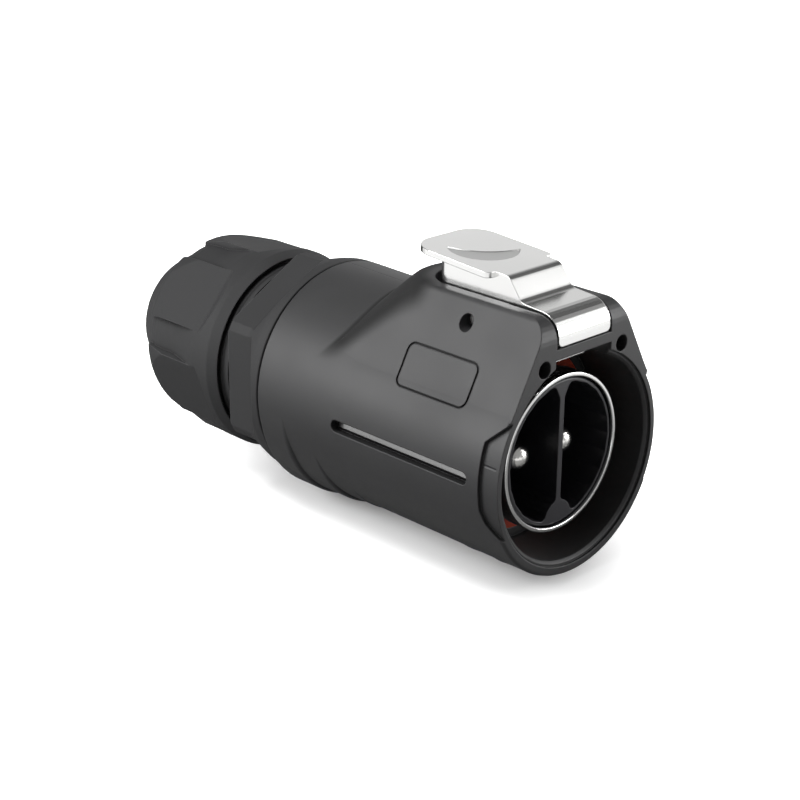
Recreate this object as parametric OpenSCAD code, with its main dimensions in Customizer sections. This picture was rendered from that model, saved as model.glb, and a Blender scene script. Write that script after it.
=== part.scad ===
// Waterproof circular power connector: cable plug with two pins and a spring latch.
// The plug's axis is X. The mating mouth looks along +X, the latch is on top (+Z),
// and the origin is the centre of the mouth's front plane.

/* [Housing] */
// Ring of space between the contact shell and the mouth's wall, for the mating barrel
mouth_gap = 4; // [3.8:0.1:4.3]
// Wall of the housing round the mouth
collar_wall = 2.5; // [2:0.1:3]
// How much wider the housing is where it meets the rear adapter
rear_flare = 0.8; // [0.5:0.1:2.5]
// Where the body starts to widen to the rear, behind the mouth
flare_x = 36; // [34:0.5:40]
// Length of the housing, from the mouth to the seam
housing_l = 57.7; // [56:0.5:64]
// Length of the straight collar behind the mouth
collar_l = 14; // [12:0.5:18]
// Rounding of the collar's front edge
collar_round = 0.6; // [0.3:0.1:1]
// Depth of the mouth, down to its floor
mouth_depth = 12.7; // [11:0.1:14]
// Width of the red seal's ring round the contact shell
seal_w = 2; // [1.6:0.1:2.4]
// Wall between the mouth and the rear cavity
web_t = 4.8; // [4:0.1:6]
// Wall of the housing round the rear cavity
cavity_wall = 4.3; // [4:0.1:4.5]
// Chamfer at the mouth's inner edge
lip_chamfer = 0.9; // [0.5:0.1:1.2]

/* [Latch hood] */
// Height of the hood's top above the collar
hood_h = 5.5; // [5:0.1:6.5]
// Lean of the hood's side walls from upright
hood_lean = 28.5; // [26:0.5:30]
// How far the side walls lie inside the collar's own radius
hood_inset = 0.2; // [0.1:0.05:0.4]
// Radius of the hollow blend between a side wall and the body
hood_blend = 40; // [20:5:60]
// Centre of the hood's rounded tail, behind the mouth
tail_x = 25.4; // [24:0.2:28]
// Radius of the tail 1.5 mm below the hood's top
tail_r = 10.9; // [10:0.1:12]
// Slope of the tail from level
tail_slope = 43; // [38:1:50]
// Rounding of the hood's front top corner
hood_front_r = 4; // [3:0.25:5]
// Width of the slot that holds the latch
slot_w = 13.5; // [13.2:0.1:14]
// Rear end of the slot, behind the mouth
slot_rear = 31; // [30.6:0.1:31.4]
// Floor of the slot above the mouth's bore
slot_rise = 0.6; // [0.3:0.1:0.9]
// Thickness of the bar across the front of the slot
bar_t = 2.2; // [1.8:0.1:2.6]
// Underside of the bar above the mouth's bore
bar_rise = 1; // [0.8:0.1:1.3]
// Height of the bar
bar_h = 1.8; // [1.6:0.1:2]
// Radius of the two blind core holes in the hood's face
core_r = 1.45; // [1:0.05:1.7]
// Sideways distance of each core hole from the middle
core_y = 9.55; // [9.3:0.05:9.8]
// Height of the core holes above the mouth's bore
core_rise = 0.1; // [0:0.1:0.8]

/* [Grip] */
// Length of the long slot in each side
side_slot_l = 32.2; // [26:0.2:36]
// Width of the long slot in each side
side_slot_w = 2.25; // [1.6:0.05:2.8]
// Front end of the long slot, behind the mouth
side_slot_x = 6.2; // [5.4:0.1:7.5]
// Depth of the long slot
side_slot_depth = 1.5; // [0.8:0.1:1.8]
// Depth of the shallow panel on each side of the collar
panel_depth = 0.65; // [0.4:0.05:0.9]
// Rear end of the collar panel, behind the mouth
panel_l = 3.7; // [3:0.1:4.6]
// Length of the plain name panel's outline
plate_l = 16.2; // [12:0.2:18]
// Height of the plain name panel's outline
plate_h = 8; // [6:0.2:8.6]
// Width of the outline's groove
plate_groove = 0.35; // [0.25:0.05:0.6]

/* [Latch lever] */
// Sheet thickness of the pressed lever
sheet_t = 1; // [0.8:0.05:1.1]
// Width of the lever inside the slot
lever_w = 12.6; // [12:0.1:12.9]
// Width of the thumb pad
pad_w = 16.1; // [15:0.1:17.4]
// Rear end of the thumb pad, behind the mouth
pad_rear = 32.3; // [31.5:0.1:34]
// Front end of the thumb pad's wings, behind the mouth
pad_front = 14.2; // [13.8:0.1:15]
// Slope of the thumb pad, up to the rear
pad_tilt = 3.9; // [2:0.1:4.5]
// Upper bend, where the pad turns down, behind the mouth
bend_x = 11.05; // [10.8:0.05:11.6]
// Height of the upper bend above the hood
bend_rise = 4.35; // [4:0.05:4.8]
// Lower bend, where the slope meets the plateau, behind the mouth
dip_x = 8.3; // [7.6:0.1:8.6]
// Depth of the lever's nose below the hood's top
nose_drop = 0.05; // [-0.3:0.05:0.1]
// Pivot of the lever, behind the mouth
pivot_x = 16; // [15.5:0.1:16.5]
// Pivot of the lever below the hood's top
pivot_drop = 3.6; // [3.2:0.1:3.8]
// Diameter of the pivot pin
pin_d = 2.5; // [2:0.1:2.8]
// How far the catch bar reaches into the mouth
catch_reach = 1.8; // [1.6:0.1:2.1]

/* [Contacts and insert] */
// Outside diameter of the metal contact shell
shell_d = 28; // [27.6:0.1:28.2]
// Wall of the contact shell
shell_t = 0.75; // [0.5:0.05:0.8]
// Front edge of the contact shell, behind the mouth
shell_front = 3.7; // [3:0.1:5]
// Step in the shell's outside where it stands in the housing
shell_step = 0.3; // [0.2:0.05:0.4]
// Front face of the insulator, behind the mouth
insert_front = 4.1; // [4:0.1:6]
// Bottom of the two contact chambers, behind the mouth
chamber_depth = 19; // [17:0.5:20]
// Thickness of the partition between the chambers
partition_t = 1.1; // [1:0.05:2]
// Wall between a chamber and the insulator's outside
chamber_wall = 0.65; // [0.5:0.05:1]
// Radius of the half-round key at the bottom
key_r = 3.3; // [3:0.1:3.8]
// Diameter of a contact pin
contact_d = 4.6; // [3.6:0.1:4.8]
// Step in the pin's radius where it stands in the insulator
contact_step = 0.3; // [0.2:0.05:0.4]
// Distance between the two contact pins
contact_pitch = 10.8; // [10.4:0.1:12]
// Height of the contact pins, below the plug's axis
contact_drop = 0.7; // [0:0.1:1]
// Tip of the contact pins, behind the mouth
contact_tip = 7.1; // [6.5:0.1:9]
// Outside diameter of the wire barrel
barrel_d = 7.5; // [7:0.1:7.8]
// Bore of the wire barrel
barrel_bore = 5.4; // [4.6:0.1:5.6]
// Rear end of the wire barrels, behind the mouth
barrel_rear = 43; // [41:0.5:45]
// Diameter of a terminal screw
screw_d = 3.8; // [3:0.1:4]

/* [Rear adapter] */
// Depth of the six wrench flats
flat_depth = 2.9; // [2.4:0.1:3.4]
// Length of the adapter's collar
adapter_collar_l = 11.4; // [10:0.2:13]
// Length of the neck that carries the gland nut
neck_l = 15.6; // [14:0.2:17]

/* [Gland nut] */
// Wall of the nut at its front rim
nut_wall = 2; // [1.9:0.1:2.6]
// How far the face of each pad lies inside the rim
pad_drop = 1.2; // [0.8:0.1:1.5]
// Gap between the adapter's collar and the nut
nut_gap = 2.75; // [2:0.05:3.5]
// Length of the nut
nut_l = 31.85; // [30:0.05:34]
// Length from the nut's front edge to the pads' rear ends
nut_pad_l = 23.4; // [22:0.1:24.4]
// Diameter of the cable hole
cable_hole_d = 18; // [17:0.2:19]
// Bore of the rubber cable seal
seal_bore_d = 16; // [12:0.5:16.4]

/* [Hidden] */
$fn = 96;

// Colours, as seen on the plug
nylon = [0.20, 0.20, 0.21];
nickel = [0.86, 0.87, 0.88];
silver = [0.90, 0.90, 0.90];
insulator_grey = [0.24, 0.24, 0.27];
silicone_red = [0.72, 0.16, 0.07];
rubber_black = [0.09, 0.09, 0.09];
brass = [0.78, 0.66, 0.38];

// Clearances and small overlaps
run = 0.05;       // running and push fits
slip = 0.15;      // loose fits between plastic parts
air = 0.3;        // pieces that must stay apart
cut = 1;          // how far a cutter passes its surface
chamfer = 0.3;    // broken edges

shell_r = shell_d / 2;
mouth_r = shell_r + mouth_gap;
collar_r = mouth_r + collar_wall;
rear_r = collar_r + rear_flare / 2;
cavity_r = rear_r - cavity_wall;
seal_t = 2.5;
mouth_floor = mouth_depth + seal_t;
web_rear = mouth_floor + web_t;

// The hood's side walls: a plane at wall_d from the axis, leaning in by hood_lean, and a hollow
// blend that touches the plane and the body's circle
hood_top = collar_r + hood_h;
wall_d = collar_r - hood_inset;
wall_foot = [wall_d * cos(hood_lean), wall_d * sin(hood_lean)];
hood_half = (wall_d - hood_top * sin(hood_lean)) / cos(hood_lean);
blend_rise = sqrt(pow(collar_r - run / 2 + hood_blend, 2) - pow(wall_d + hood_blend, 2));
blend_turn = atan2(blend_rise, wall_d + hood_blend);
tail_top_r = 3.2;
tail_ref = 1.5;
slot_half = slot_w / 2;
slot_corner = slot_half - 0.45;
slot_floor = mouth_r + slot_rise;
bar_low = mouth_r + bar_rise;
core_z = mouth_r + core_rise;
window_half = slot_half + 0.15;
window_rear = 10.5;
bar_top = bar_low + bar_h;
core_depth = 6;

// Finger waves: inset from the housing's own radius, drop below the axis, front end, rounding
rear_waves = [[0.2, 1.42, 7.5, 1.1], [0.68, 1.31, 14.5, 1], [0.78, 0.7, 20.7, 0.8]];
front_wave_l = 6.3;
front_wave_inset = 0.65;
front_wave_taper = 0.4;

// Threads are left plain: the outer surface of one piece stands slip inside the other
thread_r = max(rear_r - 2.95, cavity_r + 1);
thread_l = 12.7;
oring_r = 0.8;
oring_seat_r = thread_r + 2 * oring_r + run;
oring_seat_l = 1.7;

// The contact shell and what stands behind it
shell_bore = shell_r - shell_t;
shell_seat_r = shell_r + shell_step;
shell_step_x = mouth_depth - 0.1;
seal_r = shell_seat_r + seal_w;
flange_r = cavity_r - air;
shell_flange_t = 1.5;
shell_rear = web_rear + shell_flange_t;
shell_oring_r = 0.75;
shell_oring_x = mouth_floor + web_t / 2;
insert_r = shell_bore - 0.2;
insert_flange_r = flange_r - 1.3;
insert_flange_t = 2;
insert_rear = shell_rear + insert_flange_t;
seal_disc_t = 2;
block_front = insert_rear + seal_disc_t;
block_flange_t = 4;
block_r = shell_bore - 0.35;
block_rear = barrel_rear + 1;
retainer_t = 4;
retainer_x = block_front + block_flange_t;
contact_r = contact_d / 2;
contact_y = contact_pitch / 2;
contact_seat_r = contact_r + contact_step;
contact_step_x = chamber_depth - 0.2;
barrel_r = barrel_d / 2;
screw_x = [barrel_rear - 9.8, barrel_rear - 4.4];
screw_l = 4.6;
screw_r = screw_d / 2;
screw_reach = 1.4;

// The lever
bend_top = hood_top + bend_rise;
nose_top = hood_top - nose_drop;
pivot_z = hood_top - pivot_drop;
catch_low = mouth_r - catch_reach;
lever_half = lever_w / 2;
box_corner = 3.2;
box_rear = slot_rear - 2.9;
box_side = box_rear - box_corner;
spring_x = 21;
spring_r = 2.6;
spring_wire = 0.35;
spring_turns = 6;
post_r = 1.7;
post_h = 1.6;
pin_r = pin_d / 2;
pin_half = 9;
pin_window_r = pin_r + slip;

// The rear end
collar_front = housing_l + slip;
collar_rear = housing_l + adapter_collar_l;
flat_front = housing_l + 4.6;
adapter_land_r = rear_r - 0.6;
adapter_flat_r = rear_r - flat_depth;
neck_r = adapter_flat_r - 0.5;
neck_rear = collar_rear + neck_l;
claw_r = neck_r - 2;
claw_front = collar_rear + 4.7;
claw_ring_l = 5;
claw_bore = claw_r - 2.8;
claw_fingers = 12;
claw_gap = 1.3;
claw_step = 2;
finger_t = 1.7;
adapter_bore_r = claw_r - 0.7;
nut_front = collar_rear + nut_gap;
nut_rear = nut_front + nut_l;
nut_rim_r = neck_r + nut_wall;
nut_thread_rear = neck_rear + 1.4;
cable_hole_r = cable_hole_d / 2;
cable_hole_l = 2.6;
nut_cone_r = claw_r + air + 0.1;
nut_cone_end = cable_hole_r + 1.3;
finger_slope = (nut_cone_r - nut_cone_end) / (nut_rear - cable_hole_l - nut_thread_rear);
claw_rear = nut_rear - 7.7;
pad_angles = [40:60:340];
pad_r = nut_rim_r - pad_drop;
pad_half = sqrt(nut_rim_r * nut_rim_r - pad_r * pad_r) - slip;
pad_end = nut_front + nut_pad_l;
pad_slant = 30;
bell_inset = 1.35;
bell_end_inset = 3.3;

// A polygon's corners given as [x, y, radius], rounded by arcs
function unit(v) = v / norm(v);
function corner(a, p, b, r) =
    let (u = unit(a - p), v = unit(b - p),
         half = acos(max(-1, min(1, u * v))) / 2,
         c = p + unit(u + v) * r / sin(half),
         s = p + u * r / tan(half) - c,
         e = p + v * r / tan(half) - c,
         a0 = atan2(s[1], s[0]),
         turn = atan2(s[0] * e[1] - s[1] * e[0], s * e),
         n = max(2, ceil(abs(turn) / 12)))
    r <= 0 ? [p] : [for (i = [0:n]) c + r * [cos(a0 + turn * i / n), sin(a0 + turn * i / n)]];
function flat2(p) = [p[0], p[1]];
function rounded(p) =
    [for (i = [0:len(p) - 1])
        each corner(flat2(p[(i + len(p) - 1) % len(p)]), flat2(p[i]), flat2(p[(i + 1) % len(p)]), p[i][2])];

// An open path with rounded corners, and a strip of even thickness to one side of it
function rounded_path(p) =
    [for (i = [0:len(p) - 1])
        each (i == 0 || i == len(p) - 1) ? [flat2(p[i])]
            : corner(flat2(p[i - 1]), flat2(p[i]), flat2(p[i + 1]), p[i][2])];
function side_of(p, i) =
    let (d = unit(p[min(i + 1, len(p) - 1)] - p[max(i - 1, 0)])) [d[1], -d[0]];
function strip(p, t) =
    concat(p, [for (i = [len(p) - 1:-1:0]) p[i] + side_of(p, i) * t]);

// An arc as points
function arc(cx, cy, r, a0, a1, n = 8) =
    [for (i = [0:n]) [cx + r * cos(a0 + (a1 - a0) * i / n), cy + r * sin(a0 + (a1 - a0) * i / n)]];

// A solid turned about the plug's axis from [radius, x] points
module turned(points) {
    rotate([0, 90, 0]) rotate_extrude() polygon(points);
}

// A round bar along the axis, from x0 to x1
module rod(r, x0, x1) {
    translate([x0, 0, 0]) rotate([0, 90, 0]) cylinder(r = r, h = x1 - x0);
}

// A ring along the axis
module ring(ro, ri, x0, x1) {
    turned([[ri, x0], [ro, x0], [ro, x1], [ri, x1]]);
}

// A ring of round section about the axis
module oring(r, section, x) {
    translate([x, 0, 0]) rotate([0, 90, 0]) rotate_extrude() translate([r, 0]) circle(r = section, $fn = 24);
}

// An outline in X and Z, drawn out along Y from y0 to y1
module side_slab(y0, y1) {
    translate([0, y1, 0]) rotate([90, 0, 0]) linear_extrude(y1 - y0) children();
}

// An outline in Y and Z, drawn out along X from x0 to x1
module front_slab(x0, x1) {
    translate([x0, 0, 0]) rotate([90, 0, 90]) linear_extrude(x1 - x0) children();
}

// An outline in X and Y, drawn up along Z from z0 to z1
module plan_slab(z0, z1) {
    translate([0, 0, z0]) linear_extrude(z1 - z0) children();
}

module mirrored_y() {
    children();
    mirror([0, 1, 0]) children();
}

// Housing: round body, leaning hood and finger waves, one moulding

module housing_round() {
    turned(concat([[0, -housing_l], [rear_r - chamfer, -housing_l], [rear_r, -housing_l + chamfer],
                   [collar_r, -flare_x]],
                  arc(collar_r - collar_round, -collar_round, collar_round, 0, 90),
                  [[0, 0]]));
}

// One side of the hood's section: the top corner, the side wall and the blend into the body
function hood_side(side) =
    let (across = [cos(hood_lean), sin(hood_lean)],
         up = [-sin(hood_lean), cos(hood_lean)],
         touch = across * wall_d + up * blend_rise,
         centre = touch + across * hood_blend,
         steps = 6,
         points = concat(corner([-hood_half, hood_top], [hood_half, hood_top], touch, 1.2),
                         [for (i = [0:steps]) let (a = hood_lean + 180 + blend_turn * i / steps)
                             centre + hood_blend * [cos(a), sin(a)]]),
         last = len(points) - 1)
    [for (i = [0:last]) let (p = points[side > 0 ? i : last - i]) [side * p[0], p[1]]];

module hood_blank() {
    tail_low = collar_r / 4;
    tail_grow = 1 / tan(tail_slope);
    tail_r_top = tail_r - tail_ref * tail_grow;
    tail_r_low = tail_r + (hood_top - tail_ref - tail_low) * tail_grow;
    intersection() {
        front_slab(-housing_l + cut, 0) polygon(concat(hood_side(1), hood_side(-1)));
        side_slab(-collar_r, collar_r)
            polygon(rounded([[-housing_l, 0, 0], [0, 0, 0], [0, hood_top, hood_front_r],
                             [-housing_l, hood_top, 0]]));
        union() {
            translate([-tail_x, 0, 0]) rotate_extrude()
                polygon(concat([[0, tail_low], [tail_r_low, tail_low]],
                               rounded_path([[tail_r_low, tail_low, 0], [tail_r_top, hood_top, tail_top_r],
                                             [0, hood_top, 0]])));
            translate([-tail_x, -collar_r, 0]) cube([tail_x, 2 * collar_r, hood_top + cut]);
        }
    }
}

// One finger wave: a disc set lower than the axis, so that it fades out up the sides
module wave(r, drop, x_rear, x_front, rise, front_face) {
    profile = front_face
        ? rounded([[0, x_rear, 0], [r, x_rear, 0.7], [r, x_front, rise], [0, x_front, 0]])
        : rounded([[0, x_rear, 0], [r, x_rear, rise], [r - front_wave_taper, x_front, 0], [0, x_front, 0]]);
    translate([0, 0, -drop]) turned(profile);
}

module finger_waves() {
    for (w = rear_waves)
        wave(rear_r - w[0], w[1], -housing_l + (w == rear_waves[0] ? 0 : cut), -housing_l + w[2], w[3], true);
    for (x = [1.2, 8])
        wave(collar_r - front_wave_inset, 1, -x - front_wave_l, -x, 0.8, false);
}

module latch_pocket() {
    slot_plan = rounded([[-slot_rear, -slot_half, slot_corner], [cut, -slot_half, 0],
                         [cut, slot_half, 0], [-slot_rear, slot_half, slot_corner]]);
    // open top, over the front bar
    plan_slab(bar_top, hood_top + cut) polygon(slot_plan);
    // deep part behind the catch window
    intersection() {
        plan_slab(slot_floor, bar_top + cut) polygon(slot_plan);
        translate([-slot_rear - cut, -slot_w, 0]) cube([slot_rear + cut - window_rear + cut, 2 * slot_w, hood_top]);
    }
    // catch window, open to the mouth below
    translate([-window_rear, -window_half, mouth_r / 2])
        cube([window_rear - bar_t, 2 * window_half, hood_top - mouth_r / 2]);
    // window under the front bar
    translate([-bar_t - cut, -window_half, mouth_r / 2]) cube([bar_t + 2 * cut, 2 * window_half, bar_low - mouth_r / 2]);
}

module pin_holes() {
    translate([-pivot_x, 0, pivot_z]) rotate([90, 0, 0]) {
        cylinder(r = pin_r + run / 2, h = 2 * collar_r, center = true);
        for (side = [0, 180])
            rotate([side, 0, 0]) translate([0, 0, pin_half]) cylinder(r = pin_window_r, h = collar_r);
    }
}

module collar_panels() {
    // corners as [share of the panel's length, height as a share of its radius]
    corners = [[0, 0.552], [1, 0.375], [1, -0.208], [0.78, -0.326], [0.38, -0.407], [0, -0.469]];
    r = collar_r - panel_depth;
    intersection() {
        ring(collar_r + cut, r, -collar_l, cut);
        side_slab(-2 * collar_r, 2 * collar_r)
            polygon(concat([[cut, corners[0][1] * r]], [for (c = corners) [-c[0] * panel_l, c[1] * r]],
                           [[cut, corners[5][1] * r]]));
    }
}

module side_slots() {
    r = side_slot_w / 2;
    x1 = -side_slot_x - r;
    x0 = -side_slot_x - side_slot_l + r;
    z = 0.46;
    depth_y = collar_r - side_slot_depth;
    mirrored_y() side_slab(-2 * collar_r, -depth_y) {
        translate([x0, z - r]) square([x1 - x0, 2 * r]);
        for (x = [x0, x1])
            translate([x, z]) circle(r = r, $fn = 32);
    }
}

// Lays a drawing on the hood's near side wall: x stays, y runs up the wall from its foot
module on_wall(depth) {
    translate([0, -wall_foot[0], wall_foot[1]]) rotate([90 - hood_lean, 0, 0])
        translate([0, 0, -depth]) linear_extrude(depth + cut) children();
}

module rounded_rect(x0, y0, l, h, r) {
    polygon(rounded([[x0, y0, r], [x0 + l, y0, r], [x0 + l, y0 + h, r], [x0, y0 + h, r]]));
}

module plate_outline() {
    plate_x = -26.1;
    plate_y = 0.9;
    on_wall(0.3) difference() {
        rounded_rect(plate_x, plate_y, plate_l, plate_h, 1.6);
        rounded_rect(plate_x + plate_groove, plate_y + plate_groove,
                     plate_l - 2 * plate_groove, plate_h - 2 * plate_groove, 1.6 - plate_groove);
    }
}

module housing_bores() {
    lip_step = lip_chamfer / 2;
    turned([[0, -mouth_depth], [mouth_r, -mouth_depth], [mouth_r, -lip_chamfer],
            [mouth_r + lip_step, -lip_step], [mouth_r + lip_chamfer, -lip_step],
            [mouth_r + lip_chamfer, cut], [0, cut]]);
    rod(seal_r + run, -mouth_floor, 0);
    rod(shell_seat_r + run, -web_rear - cut, 0);
    ring(shell_seat_r + 2 * shell_oring_r + 2 * run, shell_r - cut, -shell_oring_x - shell_oring_r - slip,
         -shell_oring_x + shell_oring_r + slip);
    rod(cavity_r, -housing_l - cut, -web_rear);
    rod(thread_r, -housing_l - cut, -housing_l + thread_l);
    rod(oring_seat_r, -housing_l - cut, -housing_l + oring_seat_l);
}

module housing() {
    color(nylon) {
        difference() {
            union() {
                housing_round();
                hood_blank();
                finger_waves();
            }
            housing_bores();
            latch_pocket();
            pin_holes();
            collar_panels();
            side_slots();
            plate_outline();
            for (y = [-core_y, core_y])
                translate([0, y, core_z]) rod(core_r, -core_depth, cut);
        }
        // post that keeps the spring in place
        translate([-spring_x, 0, slot_floor]) cylinder(r = post_r, h = post_h, $fn = 32);
    }
}

// Latch lever: one pressed and folded sheet

function pad_z(x) = bend_top + (x - bend_x) * tan(pad_tilt);

lever_path = rounded_path([[-pad_front - 2, pad_z(pad_front + 2), 0], [-bend_x, bend_top, 1.8],
                           [-dip_x, nose_top + 0.65, 1.8], [0, nose_top, 4], [0, bar_top + air, 0]]);
ear_low = slot_floor + 0.9;
box_low = slot_floor + 2.7;
catch_x = 4.7;

// The folded side: under the sheet all along, down to the catch in front and to the pivot behind it
module lever_flange() {
    under = sheet_t / 2;
    last = len(lever_path) - 1;
    polygon(concat(
        [[-box_side, pad_z(box_side) - under]],
        [for (i = [0:last]) lever_path[i] + side_of(lever_path, i) * under],
        [[-bar_t - 2 * air, bar_top + air], [-catch_x + 1, bar_top - 1], [-catch_x, catch_low + 2],
         [-catch_x, catch_low + 1], [-catch_x - 2, catch_low + 1], [-window_rear + 1, ear_low],
         [-pivot_x - 3.5, ear_low], [-pivot_x - 6, box_low], [-box_side, box_low]]));
}

// The fold's rear corner, and the short return behind it
module lever_corner() {
    h = pad_z(box_rear) - sheet_t / 2 - box_low;
    translate([-box_side, -lever_half + box_corner, box_low]) {
        intersection() {
            difference() {
                cylinder(r = box_corner, h = h);
                translate([0, 0, -cut]) cylinder(r = box_corner - sheet_t, h = h + 2 * cut);
            }
            translate([-2 * box_corner, -2 * box_corner, 0]) cube([2 * box_corner, 2 * box_corner, h]);
        }
        translate([-box_corner, 0, 0]) cube([sheet_t, 2, h]);
    }
}

module catch_bar() {
    front_slab(-catch_x - sheet_t, -catch_x)
        polygon(rounded([[-lever_half, catch_low, 0.9], [lever_half, catch_low, 0.9],
                         [lever_half, catch_low + 2.4, 0], [-lever_half, catch_low + 2.4, 0]]));
}

// Rounds the lower corners of the nose
module nose_corners() {
    r = 0.9;
    mirrored_y() front_slab(-bar_t, cut) difference() {
        translate([-lever_half - cut, bar_top]) square([r + cut, air + r]);
        translate([-lever_half + r, bar_top + air + r]) circle(r = r);
    }
}

// Drawn in the pad's own plane, from the upper bend
module thumb_crescent() {
    middle = bend_x - (pad_front + pad_rear) / 2;
    difference() {
        translate([middle, 0.5]) circle(r = 6.2);
        translate([middle - 7.3, 6.8]) circle(r = 11.4);
    }
}

module pad_outline() {
    half = pad_w / 2;
    rear = bend_x - pad_rear;
    front = bend_x - pad_front;
    polygon(rounded([[rear, -half, 4.6], [front, -half, 1.2], [front, half, 1.2], [rear, half, 4.6]]));
}

module latch_lever() {
    color(nickel) difference() {
        union() {
            translate([-bend_x, 0, bend_top]) rotate([0, pad_tilt, 0]) plan_slab(-sheet_t, 0) pad_outline();
            side_slab(-lever_half, lever_half) polygon(strip(lever_path, sheet_t));
            mirrored_y() {
                side_slab(-lever_half, -lever_half + sheet_t) lever_flange();
                lever_corner();
            }
            catch_bar();
        }
        translate([-bend_x, 0, bend_top]) rotate([0, pad_tilt, 0]) plan_slab(-0.12, cut) thumb_crescent();
        nose_corners();
        translate([-pivot_x, 0, pivot_z]) rotate([90, 0, 0])
            cylinder(r = pin_r + run, h = lever_w + cut, center = true);
    }
}

module latch_pin() {
    color(silver) translate([-pivot_x, 0, pivot_z]) rotate([90, 0, 0])
        rotate_extrude() polygon([[0, -pin_half], [pin_r - chamfer, -pin_half], [pin_r, -pin_half + chamfer],
                                  [pin_r, pin_half - chamfer], [pin_r - chamfer, pin_half], [0, pin_half]]);
}

// Compression spring under the thumb pad: a wire of round section along a helix
module latch_spring() {
    steps = 14;
    sides = 8;
    length = pad_z(spring_x - spring_r - spring_wire) - sheet_t - slot_floor - 2 * spring_wire - 2 * run;
    n = steps * spring_turns;
    points = [for (i = [0:n]) let (a = 360 * i / steps, z = spring_wire + length * i / n)
        for (j = [0:sides - 1]) let (b = 360 * j / sides, r = spring_r + spring_wire * cos(b))
            [r * cos(a), r * sin(a), z + spring_wire * sin(b)]];
    walls = [for (i = [0:n - 1]) for (j = [0:sides - 1]) let (k = (j + 1) % sides)
        [i * sides + j, i * sides + k, (i + 1) * sides + k, (i + 1) * sides + j]];
    ends = [[for (j = [sides - 1:-1:0]) j], [for (j = [0:sides - 1]) n * sides + j]];
    color(silver) translate([-spring_x, 0, slot_floor + run])
        polyhedron(points = points, faces = concat(walls, ends));
}

// Contact insert

module contact_shell() {
    edge = 0.2;
    color(nickel) turned(concat(
        [[shell_bore, -shell_rear], [flange_r, -shell_rear], [flange_r, -web_rear], [shell_seat_r, -web_rear],
         [shell_seat_r, -shell_step_x - shell_step], [shell_r, -shell_step_x]],
        arc(shell_r - edge, -shell_front - edge, edge, 0, 90, 3),
        arc(shell_bore + edge, -shell_front - edge, edge, 90, 180, 3)));
}

module shell_oring() {
    color(rubber_black) oring(shell_seat_r + shell_oring_r + run, shell_oring_r, -shell_oring_x);
}

module face_seal() {
    color(silicone_red) ring(seal_r, shell_seat_r + run, -mouth_floor, -mouth_depth);
}

// One half of the chambers' outline, with soft corners
module chamber_outline() {
    r = insert_r - chamber_wall;
    offset(r = 1.1, $fn = 24) offset(delta = -1.1) difference() {
        circle(r = r);
        translate([-2 * r, -r - cut]) square([2 * r + partition_t / 2, 2 * r + 2 * cut]);
        translate([0, -r + key_r / 10]) circle(r = key_r);
        // the partition widens to its root at the top
        polygon([[0, r + cut], [0, r - 2.6], [partition_t / 2, r - 2.6], [2.4, r + cut]]);
    }
}

module insulator_front() {
    color(insulator_grey) difference() {
        turned([[0, -insert_rear], [insert_flange_r, -insert_rear], [insert_flange_r, -shell_rear],
                [insert_r, -shell_rear], [insert_r, -insert_front - chamfer],
                [insert_r - chamfer, -insert_front], [0, -insert_front]]);
        front_slab(-chamber_depth, -insert_front + cut) mirror([1, 0]) chamber_outline();
        front_slab(-chamber_depth, -insert_front + cut) chamber_outline();
        for (y = [-contact_y, contact_y])
            translate([0, y, -contact_drop]) rod(contact_seat_r + run, -insert_rear - cut, -chamber_depth + cut);
    }
}

module contact_seal() {
    color(rubber_black) difference() {
        rod(insert_flange_r, -block_front, -insert_rear);
        for (y = [-contact_y, contact_y])
            translate([0, y, -contact_drop]) rod(contact_seat_r + run, -block_front - cut, -insert_rear + cut);
    }
}

module insulator_rear() {
    color(insulator_grey) difference() {
        turned([[0, -block_rear], [block_r - chamfer, -block_rear], [block_r, -block_rear + chamfer],
                [block_r, -retainer_x], [flange_r, -retainer_x], [flange_r, -block_front], [0, -block_front]]);
        for (side = [-1, 1]) {
            translate([0, side * contact_y, -contact_drop]) rod(barrel_r + run, -block_rear - cut, -block_front + cut);
            for (x = screw_x)
                translate([-x, side * contact_y, -contact_drop]) rotate([-90 * side, 0, 0])
                    cylinder(r = screw_r + air, h = block_r);
        }
    }
}

module contact_pin(side) {
    dome = contact_r * 0.9;
    color(silver) translate([0, side * contact_y, -contact_drop]) difference() {
        turned(concat([[0, -barrel_rear], [barrel_r - chamfer, -barrel_rear], [barrel_r, -barrel_rear + chamfer],
                       [barrel_r, -block_front], [contact_seat_r, -block_front],
                       [contact_seat_r, -contact_step_x - contact_step], [contact_r, -contact_step_x]],
                      arc(contact_r - dome, -contact_tip - dome, dome, 0, 90, 6),
                      [[0, -contact_tip]]));
        rod(barrel_bore / 2, -barrel_rear - cut, -barrel_rear + 13);
        for (x = screw_x)
            translate([-x, 0, 0]) rotate([-90 * side, 0, 0]) cylinder(r = screw_r + run, h = barrel_r + cut);
    }
}

module contact_pin_left() {
    contact_pin(1);
}

module contact_pin_right() {
    contact_pin(-1);
}

module terminal_screw(side, x) {
    socket_r = screw_r * 0.55;
    color(brass) translate([-x, side * (contact_y + screw_reach), -contact_drop]) rotate([-90 * side, 0, 0]) difference() {
        rotate_extrude() polygon([[0, 0], [screw_r - 0.5, 0], [screw_r, 0.5], [screw_r, screw_l - chamfer],
                                  [screw_r - chamfer, screw_l], [0, screw_l]]);
        translate([0, 0, screw_l - 2]) cylinder(r = socket_r, h = 2 + cut, $fn = 6);
    }
}

module terminal_screw_left_front() {
    terminal_screw(1, screw_x[0]);
}

module terminal_screw_left_rear() {
    terminal_screw(1, screw_x[1]);
}

module terminal_screw_right_front() {
    terminal_screw(-1, screw_x[0]);
}

module terminal_screw_right_rear() {
    terminal_screw(-1, screw_x[1]);
}

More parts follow.
